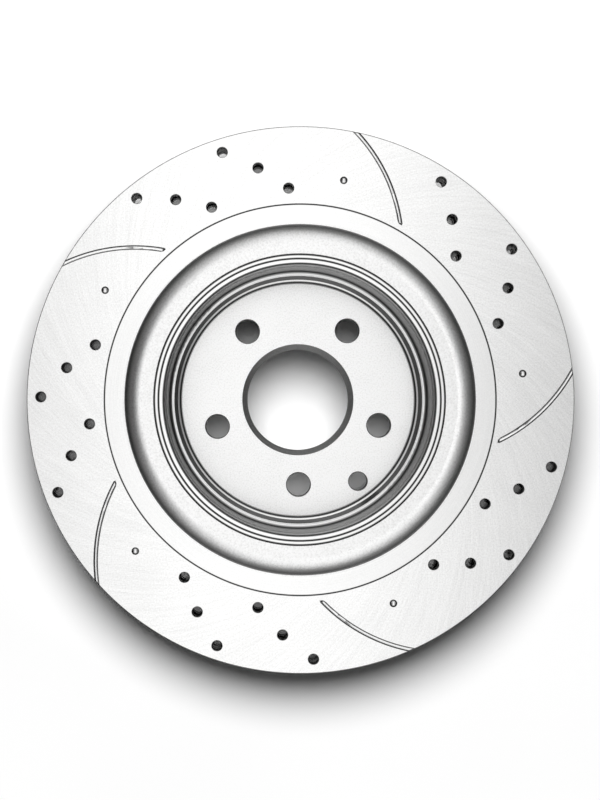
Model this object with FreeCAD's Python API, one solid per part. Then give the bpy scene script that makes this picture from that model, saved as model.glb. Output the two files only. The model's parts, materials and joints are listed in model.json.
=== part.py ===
import FreeCAD, Part
import math
import os

# A ventilated brake disc with a parking-brake drum inside its hat.
# Millimetres. The disc's axis is Z, z = 0 is the wheel-side face of the hat, and the inboard side is up.

# Friction ring
DISC_RADIUS = 175.0
DISC_THICKNESS = 20.0
OVERALL_HEIGHT = 47.0
PLATE_THICKNESS = 6.5
TRACK_INNER_RADIUS = 125.1
LAND_DROP = 0.4
OUTBOARD_INNER_RADIUS = 121.0
EDGE_CHAMFER = 0.5

# Cooling vanes
VANE_COUNT = 48
VANE_GROUPS = 6
VANE_THICKNESS = 5.0
VANE_INNER_RADIUS = 122.5
VANE_OUTER_RADIUS = 171.0
VANE_FIRST_ANGLE = 6.9

# Pattern machined into both friction faces, repeated round the disc
SECTORS = 5
DRILLING_RADIUS = 3.4
DRILLING_CHAMFER = 0.25
DRILLING_PITCH_RADII = (135.5, 150.7, 165.9)
DRILLING_FIRST_ANGLE = 21.0
DRILLING_STEP_ANGLE = 7.2
DRILLING_ROW_ANGLE = 21.6
SLOT_CUTTER_RADIUS = 1.2
SLOT_DEPTH = 0.95
SLOT_ARC_RADIUS = 106.2
SLOT_ARC_ANGLE = 112.73
SLOT_START_RADIUS = 130.3
SLOT_RUN_OUT = 3.0
DIMPLE_CUTTER_RADIUS = 2.6
DIMPLE_DEPTH = 1.3
DIMPLE_PITCH_RADIUS = 143.0
DIMPLE_ANGLE = 6.65

# Bowl that joins the hat to the inboard plate
BOWL_THICKNESS = 7.0
BOWL_FLOOR_DEPTH = 9.0
BOWL_FILLET_RADIUS = 9.5
BOWL_WALL_RADIUS = 111.8
BOWL_EDGE_CHAMFER = 0.45
BOWL_UNDERSIDE_FILLET = 5.0
LAND_ROOT_RADIUS = 113.0

# Hat
HAT_OUTER_RADIUS = 94.0
HAT_CORNER_RADIUS = 8.0
DRUM_RADIUS = 86.0
DRUM_FLOOR_HEIGHT = 15.0
LIP_HEIGHT = 2.2
LIP_FOOT_RADIUS = 94.7
LIP_STEP_HEIGHT = 1.2
LIP_STEP_OUTER_RADIUS = 93.5
LIP_STEP_INNER_RADIUS = 91.55
LIP_TOP_OUTER_RADIUS = 90.65
LIP_TOP_INNER_RADIUS = 87.9
FLANGE_THICKNESS = 7.0
FLANGE_RADIUS = 78.4
DRUM_ROOT_FILLET = 2.1
UPPER_LEDGE_RADIUS = 82.9
LOWER_LEDGE_OUTER_RADIUS = 80.7
LOWER_LEDGE_INNER_RADIUS = 79.7
LOWER_LEDGE_HEIGHT = 9.0
LOWER_LEDGE_RISE = 0.37
FLANGE_ROOT_RADIUS = 78.6

# Hub fit and wheel bolts
PILOT_RADIUS = 34.0
PILOT_CHAMFER = 3.5
PILOT_BACK_CHAMFER = 0.6
PILOT_RING_RADIUS = 44.0
BOLT_COUNT = 5
BOLT_CIRCLE_DIAMETER = 114.3
BOLT_HOLE_RADIUS = 8.0
BOLT_HOLE_CHAMFER = 0.45
BOLT_FIRST_ANGLE = 54.4
ADJUSTER_HOLE_RADIUS = 6.2
ADJUSTER_PITCH_RADIUS = 68.2
ADJUSTER_ANGLE = 306.4

# Levels that follow from the sizes above
INBOARD_FACE = OVERALL_HEIGHT
INBOARD_BACK = INBOARD_FACE - PLATE_THICKNESS
OUTBOARD_FACE = OVERALL_HEIGHT - DISC_THICKNESS
OUTBOARD_BACK = OUTBOARD_FACE + PLATE_THICKNESS
LAND_LEVEL = INBOARD_FACE - LAND_DROP
BOWL_FLOOR = INBOARD_FACE - BOWL_FLOOR_DEPTH

AXIS_POINT = FreeCAD.Vector(0, 0, 0)
AXIS = FreeCAD.Vector(0, 0, 1)
CUT_OVERRUN = 1.0


def corner(radius, height):
    """One corner of an outline in the plane of radius and height."""
    return [FreeCAD.Vector(radius, 0, height)]


def bend(centre, radius, start, end):
    """A round stretch of an outline: its centre (radius, height), its own radius, its angles in degrees."""
    points = []
    for angle in (start, (start + end) / 2, end):
        turn = math.radians(angle)
        points.append(FreeCAD.Vector(
            centre[0] + radius * math.cos(turn), 0, centre[1] + radius * math.sin(turn)))
    return points


def turned(*stretches):
    """The solid that a closed outline of corners and bends sweeps in one turn about the axis."""
    edges = []
    for stretch, following in zip(stretches, stretches[1:] + stretches[:1]):
        if len(stretch) > 1:
            edges.append(Part.Arc(*stretch).toShape())
        if stretch[-1].distanceToPoint(following[0]) > 1e-6:
            edges.append(Part.makeLine(stretch[-1], following[0]))
    face = Part.Face(Part.Wire(edges))
    return face.revolve(AXIS_POINT, AXIS, 360)


def around(shape, angle):
    """A copy of a shape turned about the disc's axis, in degrees."""
    copy = shape.copy()
    copy.rotate(AXIS_POINT, AXIS, angle)
    return copy


def at_polar(shape, radius, angle):
    """A copy of a shape made on the axis, moved out to a radius and an angle."""
    copy = shape.copy()
    copy.translate(FreeCAD.Vector(radius, 0, 0))
    return around(copy, angle)


def drill(radius, low, high, chamfer_low, chamfer_high):
    """The tool for a through hole with a 45 degree chamfer at each mouth."""
    return turned(
        corner(0, low - CUT_OVERRUN),
        corner(radius + chamfer_low + CUT_OVERRUN, low - CUT_OVERRUN),
        corner(radius, low + chamfer_low),
        corner(radius, high - chamfer_high),
        corner(radius + chamfer_high + CUT_OVERRUN, high + CUT_OVERRUN),
        corner(0, high + CUT_OVERRUN))


def drillings(low, high, chamfer_low, chamfer_high):
    """Every cross drilling: two slanting rows of three in each sector."""
    tool = drill(DRILLING_RADIUS, low, high, chamfer_low, chamfer_high)
    holes = []
    for sector in range(SECTORS):
        for row in range(2):
            for step, radius in enumerate(DRILLING_PITCH_RADII):
                angle = (DRILLING_FIRST_ANGLE + step * DRILLING_STEP_ANGLE
                         + row * DRILLING_ROW_ANGLE + sector * 360 / SECTORS)
                holes.append(at_polar(tool, radius, angle))
    return holes


def slots(face_level, into):
    """The gas slots: round-bottomed arcs of a circle through the disc's axis, out through the rim."""
    height = face_level - into * (SLOT_CUTTER_RADIUS - SLOT_DEPTH)
    # Angles about the arc's own centre, from the disc's axis round to the slot's closed end and past the rim
    start_turn = math.degrees(2 * math.asin(SLOT_START_RADIUS / 2 / SLOT_ARC_RADIUS))
    end_turn = math.degrees(2 * math.asin((DISC_RADIUS + SLOT_RUN_OUT) / 2 / SLOT_ARC_RADIUS))
    centre = FreeCAD.Vector(SLOT_ARC_RADIUS, 0, height)
    section = Part.Face(Part.Wire(Part.makeCircle(SLOT_CUTTER_RADIUS, centre, FreeCAD.Vector(0, 1, 0))))
    path = section.revolve(AXIS_POINT, AXIS, end_turn - start_turn)
    slot = path.fuse(Part.makeSphere(SLOT_CUTTER_RADIUS, centre))
    slot = around(slot, 180 + start_turn)
    slot.translate(FreeCAD.Vector(SLOT_ARC_RADIUS, 0, 0))
    return [around(slot, SLOT_ARC_ANGLE + sector * 360 / SECTORS) for sector in range(SECTORS)]


def dimples(face_level, into):
    """The wear dimples: shallow round pits, one in each sector."""
    height = face_level - into * (DIMPLE_CUTTER_RADIUS - DIMPLE_DEPTH)
    ball = Part.makeSphere(DIMPLE_CUTTER_RADIUS, FreeCAD.Vector(0, 0, height))
    return [
        at_polar(ball, DIMPLE_PITCH_RADIUS, DIMPLE_ANGLE + sector * 360 / SECTORS)
        for sector in range(SECTORS)]


def inboard_friction_plate():
    ring = turned(
        corner(TRACK_INNER_RADIUS, INBOARD_BACK),
        corner(DISC_RADIUS - EDGE_CHAMFER, INBOARD_BACK),
        corner(DISC_RADIUS, INBOARD_BACK + EDGE_CHAMFER),
        corner(DISC_RADIUS, INBOARD_FACE - EDGE_CHAMFER),
        corner(DISC_RADIUS - EDGE_CHAMFER, INBOARD_FACE),
        corner(TRACK_INNER_RADIUS, INBOARD_FACE))
    holes = drillings(INBOARD_BACK, INBOARD_FACE, 0, DRILLING_CHAMFER)
    return ring.cut(holes + slots(INBOARD_FACE, -1) + dimples(INBOARD_FACE, -1))


def outboard_friction_plate():
    land = OUTBOARD_FACE + LAND_DROP
    ring = turned(
        corner(OUTBOARD_INNER_RADIUS + EDGE_CHAMFER, land),
        corner(TRACK_INNER_RADIUS, land),
        corner(TRACK_INNER_RADIUS, OUTBOARD_FACE),
        corner(DISC_RADIUS - EDGE_CHAMFER, OUTBOARD_FACE),
        corner(DISC_RADIUS, OUTBOARD_FACE + EDGE_CHAMFER),
        corner(DISC_RADIUS, OUTBOARD_BACK - EDGE_CHAMFER),
        corner(DISC_RADIUS - EDGE_CHAMFER, OUTBOARD_BACK),
        corner(OUTBOARD_INNER_RADIUS + EDGE_CHAMFER, OUTBOARD_BACK),
        corner(OUTBOARD_INNER_RADIUS, OUTBOARD_BACK - EDGE_CHAMFER),
        corner(OUTBOARD_INNER_RADIUS, land + EDGE_CHAMFER))
    holes = drillings(OUTBOARD_FACE, OUTBOARD_BACK, DRILLING_CHAMFER, 0)
    return ring.cut(holes + slots(OUTBOARD_FACE, 1) + dimples(OUTBOARD_FACE, 1))


def cooling_vane():
    """One straight radial vane with round ends, on the X axis, between the two plates."""
    end_radius = VANE_THICKNESS / 2
    height = INBOARD_BACK - OUTBOARD_BACK
    near = VANE_INNER_RADIUS + end_radius
    far = VANE_OUTER_RADIUS - end_radius
    side = Part.makeLine(FreeCAD.Vector(near, -end_radius, 0), FreeCAD.Vector(far, -end_radius, 0))
    nose = Part.Arc(
        FreeCAD.Vector(far, -end_radius, 0), FreeCAD.Vector(VANE_OUTER_RADIUS, 0, 0),
        FreeCAD.Vector(far, end_radius, 0)).toShape()
    other_side = Part.makeLine(FreeCAD.Vector(far, end_radius, 0), FreeCAD.Vector(near, end_radius, 0))
    tail = Part.Arc(
        FreeCAD.Vector(near, end_radius, 0), FreeCAD.Vector(VANE_INNER_RADIUS, 0, 0),
        FreeCAD.Vector(near, -end_radius, 0)).toShape()
    vane = Part.Face(Part.Wire([side, nose, other_side, tail])).extrude(AXIS * height)
    vane.translate(AXIS * OUTBOARD_BACK)
    return vane


def vane_group(group):
    """A sixth of the vanes, as separate solids."""
    in_group = VANE_COUNT // VANE_GROUPS
    vanes = []
    for place in range(group * in_group, (group + 1) * in_group):
        vanes.append(around(cooling_vane(), VANE_FIRST_ANGLE + place * 360 / VANE_COUNT))
    return Part.makeCompound(vanes)


# The bowl's inner surface and underside are two arcs about one centre, so that its wall is of even thickness
BOWL_CENTRE = (BOWL_WALL_RADIUS - BOWL_FILLET_RADIUS, BOWL_FLOOR + BOWL_FILLET_RADIUS)
BOWL_UNDER_RADIUS = BOWL_FILLET_RADIUS + BOWL_THICKNESS


def bowl_angle(arc_radius, height):
    """The angle at which one of the bowl's two arcs reaches a height."""
    return -math.degrees(math.asin((BOWL_CENTRE[1] - height) / arc_radius))


def bowl_root_angle():
    """The angle at which the bowl's underside reaches the land's root."""
    return -math.degrees(math.acos((LAND_ROOT_RADIUS - BOWL_CENTRE[0]) / BOWL_UNDER_RADIUS))


def plain_land():
    """The flat ring between the friction track and the bowl, a little below the track."""
    return turned(
        corner(LAND_ROOT_RADIUS, LAND_LEVEL),
        corner(TRACK_INNER_RADIUS, LAND_LEVEL),
        corner(TRACK_INNER_RADIUS, INBOARD_BACK),
        bend(BOWL_CENTRE, BOWL_UNDER_RADIUS, bowl_angle(BOWL_UNDER_RADIUS, INBOARD_BACK), bowl_root_angle()))


def bowl_wall():
    """The rounded wall from the bowl's floor up to the land's sharp inner edge."""
    edge_angle = bowl_angle(BOWL_FILLET_RADIUS, LAND_LEVEL - BOWL_EDGE_CHAMFER)
    edge_radius = BOWL_CENTRE[0] + BOWL_FILLET_RADIUS * math.cos(math.radians(edge_angle))
    return turned(
        bend(BOWL_CENTRE, BOWL_FILLET_RADIUS, -90, edge_angle),
        corner(edge_radius + BOWL_EDGE_CHAMFER, LAND_LEVEL),
        corner(LAND_ROOT_RADIUS, LAND_LEVEL),
        bend(BOWL_CENTRE, BOWL_UNDER_RADIUS, bowl_root_angle(), -90))


def bowl_floor():
    """The flat ring round the hat's open end, with a fillet under it down to the hat's outside."""
    underside = BOWL_FLOOR - BOWL_THICKNESS
    under_centre = (HAT_OUTER_RADIUS + BOWL_UNDERSIDE_FILLET, underside - BOWL_UNDERSIDE_FILLET)
    return turned(
        corner(HAT_OUTER_RADIUS, BOWL_FLOOR),
        corner(BOWL_CENTRE[0], BOWL_FLOOR),
        corner(BOWL_CENTRE[0], underside),
        bend(under_centre, BOWL_UNDERSIDE_FILLET, 90, 180))


def drum_lip():
    """The machined rim at the hat's open end: two steps up, then the drum's lead-in chamfer."""
    step = BOWL_FLOOR + LIP_STEP_HEIGHT
    top = BOWL_FLOOR + LIP_HEIGHT
    return turned(
        corner(LIP_FOOT_RADIUS, BOWL_FLOOR),
        corner(LIP_STEP_OUTER_RADIUS, step),
        corner(LIP_STEP_INNER_RADIUS, step),
        corner(LIP_TOP_OUTER_RADIUS, top),
        corner(LIP_TOP_INNER_RADIUS, top),
        corner(DRUM_RADIUS, BOWL_FLOOR))


def parking_drum():
    return turned(
        corner(DRUM_RADIUS, DRUM_FLOOR_HEIGHT),
        corner(HAT_OUTER_RADIUS, DRUM_FLOOR_HEIGHT),
        corner(HAT_OUTER_RADIUS, BOWL_FLOOR),
        corner(DRUM_RADIUS, BOWL_FLOOR))


def hat_shoulder():
    """The ring between the drum wall and the flange: two ledges inside, the lower one sloping."""
    corner_centre = (HAT_OUTER_RADIUS - HAT_CORNER_RADIUS, HAT_CORNER_RADIUS)
    upper_ledge = DRUM_FLOOR_HEIGHT - DRUM_ROOT_FILLET
    return turned(
        corner(FLANGE_RADIUS, 0),
        bend(corner_centre, HAT_CORNER_RADIUS, -90, 0),
        corner(HAT_OUTER_RADIUS, DRUM_FLOOR_HEIGHT),
        bend((DRUM_RADIUS - DRUM_ROOT_FILLET, DRUM_FLOOR_HEIGHT), DRUM_ROOT_FILLET, 0, -90),
        corner(UPPER_LEDGE_RADIUS, upper_ledge),
        corner(LOWER_LEDGE_OUTER_RADIUS, LOWER_LEDGE_HEIGHT + LOWER_LEDGE_RISE),
        corner(LOWER_LEDGE_INNER_RADIUS, LOWER_LEDGE_HEIGHT),
        corner(FLANGE_ROOT_RADIUS, FLANGE_THICKNESS),
        corner(FLANGE_RADIUS, FLANGE_THICKNESS))


def mounting_flange():
    plate = turned(
        corner(PILOT_RING_RADIUS, 0),
        corner(FLANGE_RADIUS, 0),
        corner(FLANGE_RADIUS, FLANGE_THICKNESS),
        corner(PILOT_RING_RADIUS, FLANGE_THICKNESS))
    bolt_hole = drill(BOLT_HOLE_RADIUS, 0, FLANGE_THICKNESS, BOLT_HOLE_CHAMFER, BOLT_HOLE_CHAMFER)
    adjuster_hole = drill(ADJUSTER_HOLE_RADIUS, 0, FLANGE_THICKNESS, BOLT_HOLE_CHAMFER, BOLT_HOLE_CHAMFER)
    holes = [at_polar(adjuster_hole, ADJUSTER_PITCH_RADIUS, ADJUSTER_ANGLE)]
    for place in range(BOLT_COUNT):
        angle = BOLT_FIRST_ANGLE + place * 360 / BOLT_COUNT
        holes.append(at_polar(bolt_hole, BOLT_CIRCLE_DIAMETER / 2, angle))
    return plate.cut(holes)


def hub_pilot_ring():
    return turned(
        corner(PILOT_RADIUS + PILOT_BACK_CHAMFER, 0),
        corner(PILOT_RING_RADIUS, 0),
        corner(PILOT_RING_RADIUS, FLANGE_THICKNESS),
        corner(PILOT_RADIUS + PILOT_CHAMFER, FLANGE_THICKNESS),
        corner(PILOT_RADIUS, FLANGE_THICKNESS - PILOT_CHAMFER),
        corner(PILOT_RADIUS, PILOT_BACK_CHAMFER))


def save(name, shape):
    solids = shape.Solids
    body = solids[0] if len(solids) == 1 else Part.makeCompound(solids)
    if not body.isValid():
        raise RuntimeError(name + " is not a valid solid")
    body.exportStep("parts/" + name + ".step")
    print(name, len(solids), "solids", round(body.Volume / 1000, 1), "cm3")


os.makedirs("parts", exist_ok=True)
save("inboard_friction_plate", inboard_friction_plate())
save("outboard_friction_plate", outboard_friction_plate())
for group in range(VANE_GROUPS):
    save("cooling_vanes_" + str(group + 1), vane_group(group))
save("plain_land", plain_land())
save("bowl_wall", bowl_wall())
save("bowl_floor", bowl_floor())
save("drum_lip", drum_lip())
save("parking_drum", parking_drum())
save("hat_shoulder", hat_shoulder())
save("mounting_flange", mounting_flange())
save("hub_pilot_ring", hub_pilot_ring())
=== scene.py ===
import json
import math

import bmesh
import bpy
from mathutils import Matrix, Vector, noise


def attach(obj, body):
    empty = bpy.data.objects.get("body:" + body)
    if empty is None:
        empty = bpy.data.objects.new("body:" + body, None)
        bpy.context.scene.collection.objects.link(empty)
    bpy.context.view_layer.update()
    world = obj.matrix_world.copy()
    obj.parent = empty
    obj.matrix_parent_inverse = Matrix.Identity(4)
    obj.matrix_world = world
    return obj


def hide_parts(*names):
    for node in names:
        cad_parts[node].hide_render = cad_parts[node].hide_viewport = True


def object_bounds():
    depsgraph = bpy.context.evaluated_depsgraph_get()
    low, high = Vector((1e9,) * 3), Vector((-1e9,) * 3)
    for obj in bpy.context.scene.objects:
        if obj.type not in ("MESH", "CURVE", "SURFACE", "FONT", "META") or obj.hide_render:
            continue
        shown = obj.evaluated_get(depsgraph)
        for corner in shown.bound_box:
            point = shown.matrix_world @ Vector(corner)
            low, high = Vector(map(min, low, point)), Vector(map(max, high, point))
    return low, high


# A ventilated brake disc lying on its hat, looked at from straight above its inboard side.
# Metres. The disc's axis is Z and the floor is z = 0.

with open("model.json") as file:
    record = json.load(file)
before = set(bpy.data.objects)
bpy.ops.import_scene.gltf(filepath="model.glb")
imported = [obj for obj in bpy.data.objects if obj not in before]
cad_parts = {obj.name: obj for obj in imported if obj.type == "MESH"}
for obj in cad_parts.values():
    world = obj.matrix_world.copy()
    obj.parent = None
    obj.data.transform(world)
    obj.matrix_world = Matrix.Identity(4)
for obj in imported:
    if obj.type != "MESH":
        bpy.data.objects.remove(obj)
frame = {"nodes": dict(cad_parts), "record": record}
cad_low, cad_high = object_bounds()

FACE_LEVEL = cad_high.z
DISC_RADIUS = (cad_high.x - cad_low.x) / 2
MILLIMETRE = 0.001


# ---------------------------------------------------------------- camera

# The camera hangs over the disc, a little off its axis and a little tilted; the shift sets the framing.
CAMERA_DISTANCE = 0.720
PICTURE_HEIGHT_AT_FACE = 0.5114
CAMERA_OFFSET = Vector((-0.0242, -0.0010, 0))
CAMERA_LOOK = Vector((-0.01166, 0.00565, -1))
CAMERA_SHIFT = (0.0640, -0.0065)
SENSOR_SIZE = 36.0


def make_camera():
    data = bpy.data.cameras.new("camera")
    data.sensor_width = SENSOR_SIZE
    data.lens = SENSOR_SIZE * CAMERA_DISTANCE / PICTURE_HEIGHT_AT_FACE
    data.shift_x, data.shift_y = CAMERA_SHIFT
    data.clip_start = 0.01
    data.clip_end = 50.0
    camera = bpy.data.objects.new("camera", data)
    forward = CAMERA_LOOK.normalized()
    right = forward.cross(Vector((0, 1, 0))).normalized()
    up = right.cross(forward)
    camera.matrix_world = Matrix.Translation(
        Vector((0, 0, FACE_LEVEL + CAMERA_DISTANCE)) + CAMERA_OFFSET
    ) @ Matrix((right, up, -forward)).transposed().to_4x4()
    bpy.context.scene.collection.objects.link(camera)
    bpy.context.scene.camera = camera


# ---------------------------------------------------------------- node-building helper

class Surface:
    """A material under construction, with short ways to add the nodes that every finish here uses."""

    def __init__(self, name):
        self.material = bpy.data.materials.new(name)
        self.material.use_nodes = True
        self.tree = self.material.node_tree
        self.tree.nodes.clear()
        output = self.tree.nodes.new("ShaderNodeOutputMaterial")
        self.shader = self.tree.nodes.new("ShaderNodeBsdfPrincipled")
        self.tree.links.new(self.shader.outputs[0], output.inputs[0])
        place = self.tree.nodes.new("ShaderNodeTexCoord")
        self.position = place.outputs["Object"]
        self.normal = self.tree.nodes.new("ShaderNodeNewGeometry").outputs["Normal"]

    def link(self, value, socket):
        """Puts a number, a colour or another node's output on a socket."""
        if isinstance(value, bpy.types.NodeSocket):
            self.tree.links.new(value, socket)
        else:
            socket.default_value = value

    def math(self, operation, *values):
        node = self.tree.nodes.new("ShaderNodeMath")
        node.operation = operation
        for value, socket in zip(values, node.inputs):
            self.link(value, socket)
        return node.outputs[0]

    def parts(self, vector):
        node = self.tree.nodes.new("ShaderNodeSeparateXYZ")
        self.link(vector, node.inputs[0])
        return node.outputs[0], node.outputs[1], node.outputs[2]

    def vector(self, x, y, z):
        node = self.tree.nodes.new("ShaderNodeCombineXYZ")
        for value, socket in zip((x, y, z), node.inputs):
            self.link(value, socket)
        return node.outputs[0]

    def times(self, *values):
        product = values[0]
        for value in values[1:]:
            product = self.math("MULTIPLY", product, value)
        return product

    def total(self, *values):
        result = values[0]
        for value in values[1:]:
            result = self.math("ADD", result, value)
        return result

    def length(self, *values):
        """Length of a vector with the given parts."""
        return self.math("SQRT", self.total(*(self.times(value, value) for value in values)))

    def radius(self):
        """Distance from the disc's axis."""
        x, y, _ = self.parts(self.position)
        return self.length(x, y)

    def angle(self):
        """Angle round the disc's axis, in radians."""
        x, y, _ = self.parts(self.position)
        return self.math("ARCTAN2", y, x)

    def noise(self, vector, feature, detail=2.0, rough=0.5):
        """Smooth noise from 0 to 1 with features of about the given size in metres."""
        node = self.tree.nodes.new("ShaderNodeTexNoise")
        self.link(vector, node.inputs["Vector"])
        node.inputs["Scale"].default_value = 1 / feature
        node.inputs["Detail"].default_value = detail
        node.inputs["Roughness"].default_value = rough
        return node.outputs[0]

    def remap(self, value, low, high, to_low=0.0, to_high=1.0, smooth=True):
        node = self.tree.nodes.new("ShaderNodeMapRange")
        node.interpolation_type = "SMOOTHSTEP" if smooth else "LINEAR"
        self.link(value, node.inputs["Value"])
        for name, number in (("From Min", low), ("From Max", high), ("To Min", to_low), ("To Max", to_high)):
            self.link(number, node.inputs[name])
        return node.outputs[0]

    def blend(self, amount, first, second):
        """Number between first and second."""
        node = self.tree.nodes.new("ShaderNodeMix")
        node.data_type = "FLOAT"
        self.link(amount, node.inputs[0])
        self.link(first, node.inputs[2])
        self.link(second, node.inputs[3])
        return node.outputs[0]

    def grey(self, value, tint=(1.0, 1.0, 1.0)):
        """A colour of the given brightness, slightly tinted."""
        return self.vector(*(self.times(value, share) for share in tint))

    def bump(self, height, distance, strength, under=None):
        node = self.tree.nodes.new("ShaderNodeBump")
        node.inputs["Strength"].default_value = strength
        node.inputs["Distance"].default_value = distance
        self.link(height, node.inputs["Height"])
        if under is not None:
            self.link(under, node.inputs["Normal"])
        return node.outputs[0]

    def shelter(self, reach):
        """1 in the open, falling towards 0 in corners and grooves narrower than the given reach."""
        node = self.tree.nodes.new("ShaderNodeAmbientOcclusion")
        node.samples = 8
        node.inputs["Distance"].default_value = reach
        return node.outputs["AO"]

    def outline(self, away, distance, half_width, depth):
        """A soft painted shade line at a distance from something, as a factor on brightness."""
        off = self.math("ABSOLUTE", self.math("SUBTRACT", away, distance))
        return self.remap(off, half_width * LINE_CORE, half_width * LINE_FADE, 1 - depth, 1.0)

    def line(self, radius, half_width, depth):
        """A soft painted shade ring round the disc's axis, as a factor on brightness."""
        return self.outline(self.radius(), radius, half_width, depth)

    def steep_wall_shade(self, low=0.30, high=0.95):
        """Painted shade on steep walls other than the outer rim and the hat's outside.

        This is a factor on brightness. A wall is steepest where the upright part of its normal is 0, and low
        and high are values of that part.
        """
        _, _, up = self.parts(self.normal)
        up = self.math("ABSOLUTE", up)
        steep = self.remap(up, low, high, STEEP_SHADE_SHARE, 1.0)
        rim = self.remap(self.radius(), DISC_RADIUS - 3 * MILLIMETRE, DISC_RADIUS - MILLIMETRE)
        wall = self.remap(up, 0.2, 0.4, 1.0, 0.0)
        return self.blend(self.math("MAXIMUM", self.times(rim, wall), self.outside_of_hat()), steep, 1.0)

    def outside_of_hat(self):
        """1 on the hat's outer wall, its corner and the bowl's underside, and 0 elsewhere."""
        _, _, z = self.parts(self.position)
        r = self.radius()
        return self.times(
            self.remap(r, HAT_OUTSIDE_RADIUS - MILLIMETRE, HAT_OUTSIDE_RADIUS + MILLIMETRE),
            self.remap(r, UNDERSIDE_RADIUS - MILLIMETRE, UNDERSIDE_RADIUS, 1.0, 0.0),
            self.remap(z, HAT_OUTSIDE_LEVEL - MILLIMETRE, HAT_OUTSIDE_LEVEL, 1.0, 0.0))

    def near_faces(self):
        """1 within about a millimetre of the two friction faces, and 0 between them."""
        _, _, z = self.parts(self.position)
        middle = (FACE_LEVEL + FLOOR_SIDE_FACE) / 2
        away = self.math("ABSOLUTE", self.math("SUBTRACT", z, middle))
        reach = (FACE_LEVEL - FLOOR_SIDE_FACE) / 2
        return self.remap(away, reach - 1.4 * MILLIMETRE, reach - MILLIMETRE)

    def corners(self, reach, low=0.40, high=0.95, least=0.15):
        """Painted shade in tight corners, grooves and holes, darker where the surroundings shelter a point,
        as a factor on brightness.
        """
        return self.remap(self.shelter(reach), low, high, least, 1.0)

    def metal(self, colour, roughness, normal):
        self.shader.inputs["Metallic"].default_value = 1.0
        self.link(colour, self.shader.inputs["Base Color"])
        self.link(roughness, self.shader.inputs["Roughness"])
        self.link(normal, self.shader.inputs["Normal"])
        return self.material


# ---------------------------------------------------------------- marks that the finishes share

ZINC_TINT = (1.0, 1.0, 0.995)
# Brightness that the painted shade of steep walls leaves on an upright wall.
STEEP_SHADE_SHARE = 0.16
# Where a painted shade line is at its full depth and where it has faded out, as shares of its half width.
LINE_CORE = 0.5
LINE_FADE = 1.3
# Patterns on the friction faces, which repeat in each of five sectors.
SECTORS = 5
SLOT_ARC_RADIUS = 0.1062
SLOT_ARC_ANGLE = math.radians(112.73)
SLOT_START_RADIUS = 0.1303
SLOT_HALF_WIDTH = 0.00117
# Depth of the painted shade at a slot's edges.
SLOT_SHADE_DEPTH = 0.95
DIMPLE_PITCH_RADIUS = 0.1430
DIMPLE_ANGLE = math.radians(6.65)
DIMPLE_RADIUS = 0.0020
# Depth of the painted shade at a dimple's edge.
DIMPLE_SHADE_DEPTH = 0.92
# Places in the disc's section that the finishes refer to.
BOWL_EDGE_RADIUS = 0.11205
TRACK_INNER_RADIUS = 0.1251
DRUM_RADIUS = 0.0860
DRUM_FLOOR = 0.0150
LIP_FOOT = 0.0380
FLANGE_EDGE_RADIUS = 0.0784
HAT_OUTSIDE_RADIUS = 0.0890
HAT_OUTSIDE_LEVEL = 0.0370
UNDERSIDE_RADIUS = 0.1211
FLOOR_SIDE_FACE = 0.0270
# Radius, half width and depth of the painted shade lines on the slopes of the hat's stepped lip and at its
# drum's root.
LIP_SHADE_LINES = (
    (0.09405, 0.00095, 0.88), (0.09110, 0.00080, 0.88), (0.08800, 0.00062, 0.90), (0.08510, 0.00080, 0.45),
    (0.07870, 0.00060, 0.60))
# Distance of a grinding wheel's centre from the axis, the wheel's radius and the width of its marks.
FIRST_PASS = (0.120, 0.200, 0.00035)
SECOND_PASS = (0.150, 0.190, 0.00045)
BROAD_MARKS = (0.120, 0.200, 0.0020)
# How fast a mark changes along its own length: per metre of radius for an arc, per radian for a ring.
ARC_DRIFT = 0.02
RING_DRIFT = 0.0004
CLOUD_SIZE = 0.022


def grinding_marks(s, wheel_centre, wheel_radius, feature):
    """Arcs that a grinding wheel leaves on the track as the disc turns under it.

    Each point takes its noise from the place of the wheel's centre when the wheel's rim passed over it, so
    the noise is nearly the same all along an arc.
    """
    r = s.radius()
    reach = s.math(
        "DIVIDE", s.total(s.times(r, r), wheel_centre ** 2 - wheel_radius ** 2), s.times(r, 2 * wheel_centre))
    swing = s.math("ARCCOSINE", s.math("MAXIMUM", s.math("MINIMUM", reach, 1.0), -1.0))
    turn = s.math("SUBTRACT", s.angle(), swing)
    around = s.vector(
        s.times(s.math("COSINE", turn), wheel_centre), s.times(s.math("SINE", turn), wheel_centre),
        s.times(r, ARC_DRIFT))
    return s.noise(around, feature, detail=3.0, rough=0.65)


def sector_angle(s, offset):
    """Angle from the nearest of the evenly spaced directions that the given one starts, in radians."""
    node = s.tree.nodes.new("ShaderNodeMath")
    node.operation = "WRAP"
    s.link(s.math("SUBTRACT", s.angle(), offset), node.inputs[0])
    node.inputs[1].default_value = math.pi / SECTORS
    node.inputs[2].default_value = -math.pi / SECTORS
    return node.outputs[0]


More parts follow.
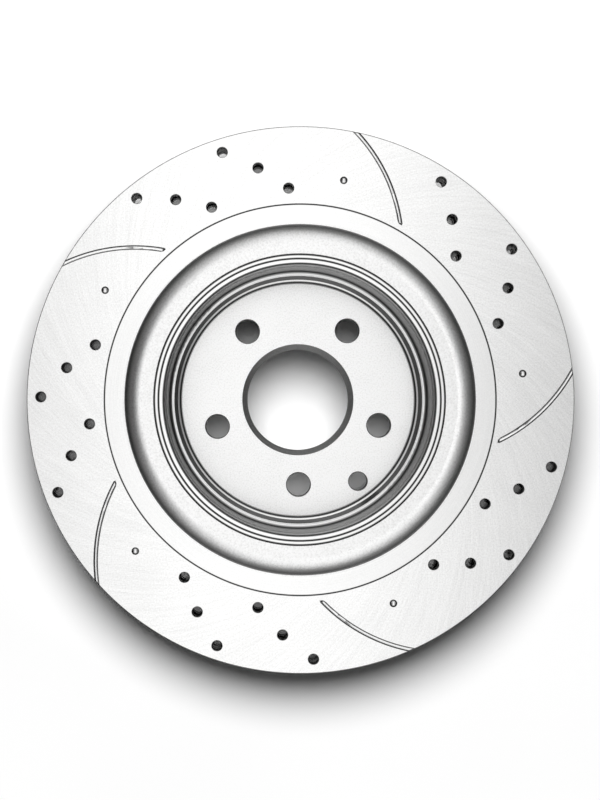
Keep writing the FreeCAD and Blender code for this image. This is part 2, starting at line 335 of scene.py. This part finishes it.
def slot_shade_and_highlight(s):
    """Painted shade at the gas slots' edges and a painted highlight on their middle; the slots are arcs of
    circles through the axis.

    Such a circle passes a distance r from the axis at the angle arccosine(r / diameter) from its centre's
    direction, and the sine of that angle tells how squarely it crosses the ring of radius r.
    """
    r = s.radius()
    share = s.math("MINIMUM", s.math("DIVIDE", r, 2 * SLOT_ARC_RADIUS), 0.999)
    slant = s.math("SINE", s.math("ARCCOSINE", share))
    turn = sector_angle(s, s.math("SUBTRACT", SLOT_ARC_ANGLE, s.math("ARCCOSINE", share)))
    across = s.times(turn, r, slant)
    before = s.math("MAXIMUM", s.math("DIVIDE", s.math("SUBTRACT", SLOT_START_RADIUS, r), slant), 0.0)
    away = s.length(across, before)
    # Painted highlight on the slot's floor, and painted shade along its sides and at its inner end.
    floor = s.remap(away, 0.4 * MILLIMETRE, 0.8 * MILLIMETRE, 1.2, 1.0)
    inside = s.remap(s.math("ABSOLUTE", across), 0.6 * MILLIMETRE, 1.2 * MILLIMETRE, 1.0, 0.0)
    end = s.outline(before, SLOT_HALF_WIDTH, 0.7 * MILLIMETRE, SLOT_SHADE_DEPTH)
    sides = s.outline(away, SLOT_HALF_WIDTH, 0.32 * MILLIMETRE, SLOT_SHADE_DEPTH)
    return s.times(floor, s.blend(inside, 1.0, end), sides)


def dimple_shade_and_highlight(s):
    """Painted shade at the wear dimples' edges and a painted highlight on their middle."""
    r = s.radius()
    out = s.math("SUBTRACT", r, DIMPLE_PITCH_RADIUS)
    across = s.times(sector_angle(s, DIMPLE_ANGLE), r)
    away = s.length(out, across)
    # Painted highlight on the dimple's middle and painted shade round its edge.
    floor = s.remap(away, 0.6 * MILLIMETRE, 1.2 * MILLIMETRE, 1.5, 1.0)
    return s.times(floor, s.outline(away, DIMPLE_RADIUS, 0.50 * MILLIMETRE, DIMPLE_SHADE_DEPTH))


def turning_marks(s, feature):
    """Fine rings left by a lathe tool."""
    _, _, z = s.parts(s.position)
    rings = s.vector(s.radius(), z, s.times(s.angle(), RING_DRIFT))
    return s.noise(rings, feature, detail=2.0, rough=0.6)


def grain(s, feature):
    """The sandy grain of the zinc-flake coating."""
    return s.noise(s.position, feature, detail=3.0, rough=0.6)


def clouds(s):
    """Slow changes of tone over the surface."""
    return s.noise(s.position, CLOUD_SIZE, detail=3.0, rough=0.5)


def variation(s, texture, amount):
    """A texture as a small change of tone round zero."""
    return s.remap(texture, 0.3, 0.7, -amount, amount, smooth=False)


def ground_face():
    """Friction plates: crossed grinding arcs, a fine grain, painted shade at the edges of slots, dimples and
    borders and in the holes, and painted highlights on the slots' and dimples' floors.
    """
    s = Surface("ground_face")
    first = grinding_marks(s, *FIRST_PASS)
    second = grinding_marks(s, *SECOND_PASS)
    crossed = s.times(s.total(first, second), 0.5)
    broad = grinding_marks(s, *BROAD_MARKS)
    fine = grain(s, 0.0010)
    brightness = s.total(
        0.890, variation(s, crossed, 0.09), variation(s, fine, 0.09), variation(s, broad, 0.035),
        variation(s, clouds(s), 0.015))
    # Painted shade on steep walls, in the drilled holes and other hollows, at the edges of slots and dimples
    # and in lines at the rim and the track's inner edge; painted highlights on the slots' and dimples'
    # floors.
    brightness = s.times(
        brightness, s.steep_wall_shade(), s.corners(12 * MILLIMETRE, low=0.25, high=0.75, least=0.01),
        s.blend(s.near_faces(), 1.0, s.times(slot_shade_and_highlight(s), dimple_shade_and_highlight(s))),
        s.line(DISC_RADIUS, half_width=0.6 * MILLIMETRE, depth=0.88),
        s.line(TRACK_INNER_RADIUS, half_width=0.5 * MILLIMETRE, depth=0.95))
    roughness = s.total(variation(s, crossed, 0.04), 0.31)
    normal = s.bump(fine, distance=0.00008, strength=0.3)
    normal = s.bump(crossed, distance=0.00006, strength=0.35, under=normal)
    return s.metal(s.grey(brightness, ZINC_TINT), roughness, normal)


def turned_coating():
    """Land, lip, ledges and drum wall, turned on a lathe; painted shade darkens the drum wall towards its
    floor, and a painted highlight lightens it towards its mouth and on its lead-in.
    """
    s = Surface("turned_coating")
    rings = turning_marks(s, 0.00035)
    fine = grain(s, 0.0007)
    brightness = s.total(0.85, variation(s, rings, 0.03), variation(s, fine, 0.04))
    _, _, z = s.parts(s.position)
    _, _, up = s.parts(s.normal)
    r = s.radius()
    # Painted shade and highlight on the drum wall: darker towards its floor, lighter towards its mouth and on
    # the lead-in.
    drum = s.times(
        s.remap(r, DRUM_RADIUS - 0.4 * MILLIMETRE, DRUM_RADIUS + 0.2 * MILLIMETRE),
        s.remap(r, DRUM_RADIUS + 1.2 * MILLIMETRE, DRUM_RADIUS + 1.8 * MILLIMETRE, 1.0, 0.0))
    depth = s.remap(z, DRUM_FLOOR, LIP_FOOT, 0.6, 1.6, smooth=False)
    lead_in_highlight = s.remap(r, DRUM_RADIUS + 0.2 * MILLIMETRE, DRUM_RADIUS + 0.9 * MILLIMETRE, 1.0, 1.7)
    drum_wall_shade_and_highlight = s.times(depth, lead_in_highlight)
    # Painted shade lines on the lip's slopes and at the drum's root, on faces that look up.
    lines = s.times(*(s.line(*line) for line in LIP_SHADE_LINES))
    facing_up = s.remap(up, 0.1, 0.3)
    # Painted shade on steep walls, in tight corners and in a line at the track's inner edge.
    brightness = s.times(
        brightness, s.steep_wall_shade(low=0.45, high=0.98), s.corners(1.5 * MILLIMETRE),
        s.blend(drum, 1.0, drum_wall_shade_and_highlight), s.blend(facing_up, 1.0, lines),
        s.line(TRACK_INNER_RADIUS, half_width=0.5 * MILLIMETRE, depth=0.95))
    normal = s.bump(fine, distance=0.00006, strength=0.25)
    normal = s.bump(rings, distance=0.00005, strength=0.35, under=normal)
    return s.metal(s.grey(brightness, ZINC_TINT), 0.28, normal)


def coated_casting():
    """The bowl and the vanes as cast: sandy grain, with painted shade on steep walls, in corners and hollows,
    and in a line at the bowl's edge.
    """
    s = Surface("coated_casting")
    sand = grain(s, 0.0012)
    lumps = s.noise(s.position, 0.006, detail=2.0)
    brightness = s.total(0.97, variation(s, sand, 0.12), variation(s, clouds(s), 0.02))
    # Painted shade on steep walls, in tight corners and deeper hollows, and in a line at the bowl's edge.
    brightness = s.times(
        brightness, s.steep_wall_shade(), s.corners(1.5 * MILLIMETRE),
        s.corners(12 * MILLIMETRE, low=0.15, high=0.55, least=0.04),
        s.line(BOWL_EDGE_RADIUS, half_width=0.35 * MILLIMETRE, depth=0.7))
    normal = s.bump(lumps, distance=0.0003, strength=0.25)
    normal = s.bump(sand, distance=0.00016, strength=0.6, under=normal)
    return s.metal(s.grey(brightness, ZINC_TINT), 0.41, normal)


def coated_flange():
    """The flange and the pilot ring: sandy grain over faint lathe rings, with painted shade on steep walls,
    in sheltered places near the walls and in a line at the flange's edge.
    """
    s = Surface("coated_flange")
    sand = grain(s, 0.0010)
    rings = turning_marks(s, 0.0005)
    brightness = s.total(0.97, variation(s, sand, 0.11), variation(s, clouds(s), 0.02))
    # Painted shade on steep walls, in sheltered places near the walls and in a line at the flange's edge.
    brightness = s.times(
        brightness, s.steep_wall_shade(low=0.5, high=1.0), s.corners(18 * MILLIMETRE, low=0.2, high=0.9, least=0.6),
        s.line(FLANGE_EDGE_RADIUS, half_width=0.45 * MILLIMETRE, depth=0.6))
    normal = s.bump(sand, distance=0.00014, strength=0.7)
    normal = s.bump(rings, distance=0.00003, strength=0.2, under=normal)
    return s.metal(s.grey(brightness, ZINC_TINT), 0.41, normal)


# ---------------------------------------------------------------- stage and light

FLOOR_REACH = 12.0
WELL_RADIUS = 0.038
WELL_DEPTH = 0.044
WELL_CENTRE_RADIUS = 0.0001
TRENCH_RADIUS = 0.078
TRENCH_DEPTH = 0.048
FLOOR_SINK = 0.0001
FLOOR_TONE = 0.88
STAGE_STEPS = 96
LAMP_HEIGHT = 0.575
LAMP_PLACE = (-0.018, 0.172)
LAMP_RADIUS = 0.185
# Brightness of the paper: under the lamp, at least anywhere in the open, and the glow left in the shadow.
LAMP_LEVEL = 1.18
FULL_FLOOR_LEVEL = 1.02
SHADOW_LEVEL = 0.03


def pale_paper(name):
    """Dull paper with a barely visible change of tone."""
    s = Surface(name)
    tone = s.remap(s.noise(s.position, 0.3, detail=2.0), 0.3, 0.7, FLOOR_TONE - 0.01, FLOOR_TONE + 0.01)
    s.link(s.grey(tone), s.shader.inputs["Base Color"])
    s.shader.inputs["Roughness"].default_value = 0.9
    s.shader.inputs["Specular IOR Level"].default_value = 0.1
    return s


def floor_material():
    """Pale paper, which glows where the lamp's light grows weak, so that the whole floor is equally pale.

    The least glow stands for light that the paper gets from all round, in the shadow too.
    """
    s = pale_paper("pale_floor")
    x, y, _ = s.parts(s.position)
    across = s.math("SUBTRACT", x, LAMP_PLACE[0])
    along = s.math("SUBTRACT", y, LAMP_PLACE[1])
    slant = s.length(LAMP_HEIGHT, across, along)
    lamp_light = s.math("DIVIDE", LAMP_LEVEL * LAMP_HEIGHT, slant)
    missing = s.math("MAXIMUM", s.math("SUBTRACT", FULL_FLOOR_LEVEL, lamp_light), SHADOW_LEVEL)
    s.shader.inputs["Emission Color"].default_value = (1, 1, 1, 1)
    s.link(missing, s.shader.inputs["Emission Strength"])
    s.material.cycles.emission_sampling = "NONE"
    return s.material


def turned_sheet(name, outline, material):
    """An open sheet turned round the disc's axis from (radius, height) points."""
    sheet = bmesh.new()
    rings = []
    for radius, level in outline:
        rings.append([
            sheet.verts.new((
                radius * math.cos(2 * math.pi * k / STAGE_STEPS),
                radius * math.sin(2 * math.pi * k / STAGE_STEPS), level))
            for k in range(STAGE_STEPS)])
    for outer, inner in zip(rings, rings[1:]):
        for k in range(STAGE_STEPS):
            following = (k + 1) % STAGE_STEPS
            sheet.faces.new((outer[k], outer[following], inner[following], inner[k]))
    mesh = bpy.data.meshes.new(name)
    sheet.to_mesh(mesh)
    sheet.free()
    mesh.materials.append(material)
    piece = bpy.data.objects.new(name, mesh)
    bpy.context.scene.collection.objects.link(piece)
    return piece


def make_floor():
    """A pale table top and, under the hat, a shallow well that shows through the hub bore and bolt holes."""
    top = turned_sheet("floor", ((FLOOR_REACH, -FLOOR_SINK), (TRENCH_RADIUS, -FLOOR_SINK)), floor_material())
    well = turned_sheet("well", (
        (TRENCH_RADIUS, -FLOOR_SINK), (TRENCH_RADIUS, -TRENCH_DEPTH), (WELL_RADIUS, -TRENCH_DEPTH),
        (WELL_RADIUS, -FLOOR_SINK), (WELL_RADIUS, -WELL_DEPTH),
        (WELL_CENTRE_RADIUS, -WELL_DEPTH)),
        pale_paper("pale_well").material)
    return top, well


def lit_group(name, objects):
    """A collection that a light can be limited to."""
    group = bpy.data.collections.new(name)
    for item in objects:
        group.objects.link(item)
    return group


TENT_RADIUS = 3.0
# Brightness of the tent round the disc by the angle from straight up, in degrees: the mean round the
# compass, and how much brighter the two ends of the tent (+Y, -Y) are than that mean.
TENT_MEAN = ((0, 1.50), (8, 1.37), (20, 0.96), (40, 0.62), (58, 0.46), (75, 0.36), (95, 0.26), (120, 0.18))
TENT_ENDS = ((0, 0.0), (10, 0.13), (22, 0.40), (40, 0.47), (58, 0.40), (75, 0.31), (95, 0.20), (120, 0.12))
# How much brighter the tent grows towards +X and towards +Y, in its upper half.
TENT_TILT = (-0.18, 0.145)


def ramp(s, value, stops):
    """A curve through (position, height) stops, with heights given as greys."""
    node = s.tree.nodes.new("ShaderNodeValToRGB")
    node.color_ramp.interpolation = "LINEAR"
    elements = node.color_ramp.elements
    while len(elements) < len(stops):
        elements.new(1.0)
    for element, (place, height) in zip(elements, stops):
        element.position = place
        element.color = (height, height, height, 1)
    s.link(value, node.inputs[0])
    return node.outputs[0]


def make_tent(group):
    """A light tent: bright overhead and at both ends, dim at the two open sides."""
    s = Surface("tent_light")
    s.tree.nodes.remove(s.shader)
    x, y, z = s.parts(s.position)
    flat = s.total(s.times(x, x), s.times(y, y))
    tilt = s.math("DIVIDE", s.math("ARCTAN2", s.math("SQRT", flat), z), math.pi)
    mean = ramp(s, tilt, [(angle / 180, height) for angle, height in TENT_MEAN])
    ends = ramp(s, tilt, [(angle / 180, height) for angle, height in TENT_ENDS])
    lean = s.math("DIVIDE", s.math("SUBTRACT", s.times(y, y), s.times(x, x)), s.math("MAXIMUM", flat, 1e-6))
    level = s.total(mean, s.times(ends, lean))
    for axis, amount in zip((x, y), TENT_TILT):
        level = s.total(level, s.times(axis, s.math("MAXIMUM", z, 0.0), amount / TENT_RADIUS ** 2))
    glow = s.tree.nodes.new("ShaderNodeEmission")
    s.link(s.math("MAXIMUM", level, 0.0), glow.inputs["Strength"])
    output = next(node for node in s.tree.nodes if node.type == "OUTPUT_MATERIAL")
    s.tree.links.new(glow.outputs[0], output.inputs[0])
    s.material.cycles.emission_sampling = "NONE"

    shell = bmesh.new()
    bmesh.ops.create_icosphere(shell, subdivisions=4, radius=TENT_RADIUS)
    mesh = bpy.data.meshes.new("tent")
    shell.to_mesh(mesh)
    shell.free()
    mesh.materials.append(s.material)
    tent = bpy.data.objects.new("tent", mesh)
    tent.location.z = FACE_LEVEL
    tent.visible_camera = False
    tent.visible_shadow = False
    tent.light_linking.receiver_collection = group
    bpy.context.scene.collection.objects.link(tent)


WORLD_GLOW = 0.07


def make_world():
    """A white backdrop for the camera, which lights things only faintly."""
    world = bpy.data.worlds.new("studio")
    world.use_nodes = True
    tree = world.node_tree
    tree.nodes.clear()
    output = tree.nodes.new("ShaderNodeOutputWorld")
    path = tree.nodes.new("ShaderNodeLightPath")
    strength = tree.nodes.new("ShaderNodeMapRange")
    backdrop = tree.nodes.new("ShaderNodeBackground")
    backdrop.inputs["Color"].default_value = (1, 1, 1, 1)
    strength.inputs["To Min"].default_value = WORLD_GLOW
    tree.links.new(path.outputs["Is Camera Ray"], strength.inputs["Value"])
    tree.links.new(strength.outputs[0], backdrop.inputs["Strength"])
    tree.links.new(backdrop.outputs[0], output.inputs[0])
    bpy.context.scene.world = world


WELL_LEVEL = 1.02
WELL_LIGHT_SLANT = (0.02, -0.38)
# Degrees.
WELL_LIGHT_SPREAD = 40
# Strength at which a point light without fall-off lights white paper square-on to a brightness of 1.
POINT_LIGHT_SHARE = 4 * math.pi ** 2


def make_lamp(floor):
    """The soft lamp over the table, without fall-off, which gives the disc its shadow."""
    data = bpy.data.lights.new("lamp", "POINT")
    data.shadow_soft_size = LAMP_RADIUS
    data.energy = 1.0
    data.use_nodes = True
    tree = data.node_tree
    tree.nodes.clear()
    output = tree.nodes.new("ShaderNodeOutputLight")
    glow = tree.nodes.new("ShaderNodeEmission")
    falloff = tree.nodes.new("ShaderNodeLightFalloff")
    falloff.inputs["Strength"].default_value = LAMP_LEVEL / FLOOR_TONE * POINT_LIGHT_SHARE
    tree.links.new(falloff.outputs["Constant"], glow.inputs["Strength"])
    tree.links.new(glow.outputs[0], output.inputs[0])
    lamp = bpy.data.objects.new("lamp", data)
    lamp.location = (*LAMP_PLACE, LAMP_HEIGHT)
    lamp.visible_camera = False
    lamp.light_linking.receiver_collection = lit_group("floor_lit", [floor])
    bpy.context.scene.collection.objects.link(lamp)


def make_well_light(well):
    """A slanting light for the well only, in which the bore's edge shades one side of the well's floor."""
    data = bpy.data.lights.new("well_light", "SUN")
    data.energy = WELL_LEVEL / FLOOR_TONE * math.pi
    data.angle = math.radians(WELL_LIGHT_SPREAD)
    light = bpy.data.objects.new("well_light", data)
    light.rotation_euler = Vector((*WELL_LIGHT_SLANT, -1)).to_track_quat("-Z", "Y").to_euler()
    light.light_linking.receiver_collection = lit_group("well_lit", [well])
    bpy.context.scene.collection.objects.link(light)


# ---------------------------------------------------------------- the disc

FINISHES = {
    "ground_face": ground_face,
    "turned_coating": turned_coating,
    "coated_casting": coated_casting,
    "coated_flange": coated_flange,
}


def finish_nodes():
    """Gives every CAD node the finish of its material slot."""
    made = {}
    for part in frame["record"]["subparts"]:
        slot = part["material_slot"]
        if slot not in made:
            made[slot] = FINISHES[slot]()
        node = frame["nodes"][part["node"]]
        node.material_slots[0].material = made[slot]
    return made


VANE_GROUPS = 6
VANES_IN_GROUP = 8
# Degrees.
VANE_FIRST_ANGLE = 6.9
VANE_NEAR = 0.1225
VANE_FAR = 0.1710
VANE_LOW = 0.0335
VANE_HIGH = 0.0405
VANE_HALF_WIDTH = 0.0023
VANE_FILLET = 0.0018
VANE_LEVELS = 12
VANE_NOSE_STEPS = 8
VANE_SIDE_STEPS = 6
CASTING_RIPPLE = 0.00012
RIPPLE_LENGTH = 0.004


def vane_outline(half_width):
    """Points round one vane in plan, from its inner end: straight sides and round ends."""
    near = VANE_NEAR + half_width
    far = VANE_FAR - half_width
    points = []
    for centre, first, end, following in ((far, -90, 90, near), (near, 90, 270, far)):
        for step in range(VANE_NOSE_STEPS):
            turn = math.radians(first + (end - first) * step / VANE_NOSE_STEPS)
            points.append((centre + half_width * math.cos(turn), half_width * math.sin(turn)))
        side = half_width * math.sin(math.radians(end))
        for step in range(VANE_SIDE_STEPS):
            points.append((centre + (following - centre) * step / VANE_SIDE_STEPS, side))
    return points


def vane_half_width(level):
    """Half the vane's width at a height, wider where it runs into a plate with a cast fillet."""
    gap = min(level - VANE_LOW, VANE_HIGH - level)
    short = max(VANE_FILLET - gap, 0.0)
    return VANE_HALF_WIDTH + VANE_FILLET - math.sqrt(VANE_FILLET ** 2 - short ** 2)


def add_vane(shell, angle):
    """Adds one closed vane: a stack of outlines, swayed a little between the plates as castings are."""
    turn = Matrix.Rotation(angle, 3, "Z")
    rings = []
    for step in range(VANE_LEVELS + 1):
        share = (1 - math.cos(math.pi * step / VANE_LEVELS)) / 2
        level = VANE_LOW + (VANE_HIGH - VANE_LOW) * share
        half_width = vane_half_width(level)
        ring = []
        for x, y in vane_outline(half_width):
            place = turn @ Vector((x, y, level))
            sway = noise.noise_vector(place / RIPPLE_LENGTH) * CASTING_RIPPLE * math.sin(math.pi * share)
            ring.append(shell.verts.new(place + Vector((sway.x, sway.y, 0))))
        rings.append(ring)
    for lower, upper in zip(rings, rings[1:]):
        for k in range(len(lower)):
            following = (k + 1) % len(lower)
            shell.faces.new((lower[k], lower[following], upper[following], upper[k]))
    shell.faces.new(list(reversed(rings[0])))
    shell.faces.new(rings[-1])


def make_vanes(group):
    """Eight cast vanes with fillets at both plates, in place of one CAD group of plain ones."""
    shell = bmesh.new()
    for k in range(VANES_IN_GROUP):
        place = (group - 1) * VANES_IN_GROUP + k
        add_vane(shell, math.radians(VANE_FIRST_ANGLE + place * 360 / VANE_GROUPS / VANES_IN_GROUP))
    for face in shell.faces:
        face.smooth = len(face.verts) == 4
    mesh = bpy.data.meshes.new(f"cast_vanes_{group}")
    shell.to_mesh(mesh)
    shell.free()
    piece = bpy.data.objects.new(mesh.name, mesh)
    bpy.context.scene.collection.objects.link(piece)
    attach(piece, "root")
    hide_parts(f"cooling_vanes_{group}")
    return piece


make_camera()
finishes = finish_nodes()
vanes = [make_vanes(group) for group in range(1, VANE_GROUPS + 1)]
for piece in vanes:
    piece.data.materials.append(finishes["coated_casting"])
floor, well = make_floor()
make_world()
make_tent(lit_group("disc_lit", [*frame["nodes"].values(), *vanes]))
make_lamp(floor)
make_well_light(well)

scene = bpy.context.scene
scene.view_settings.view_transform = "Standard"
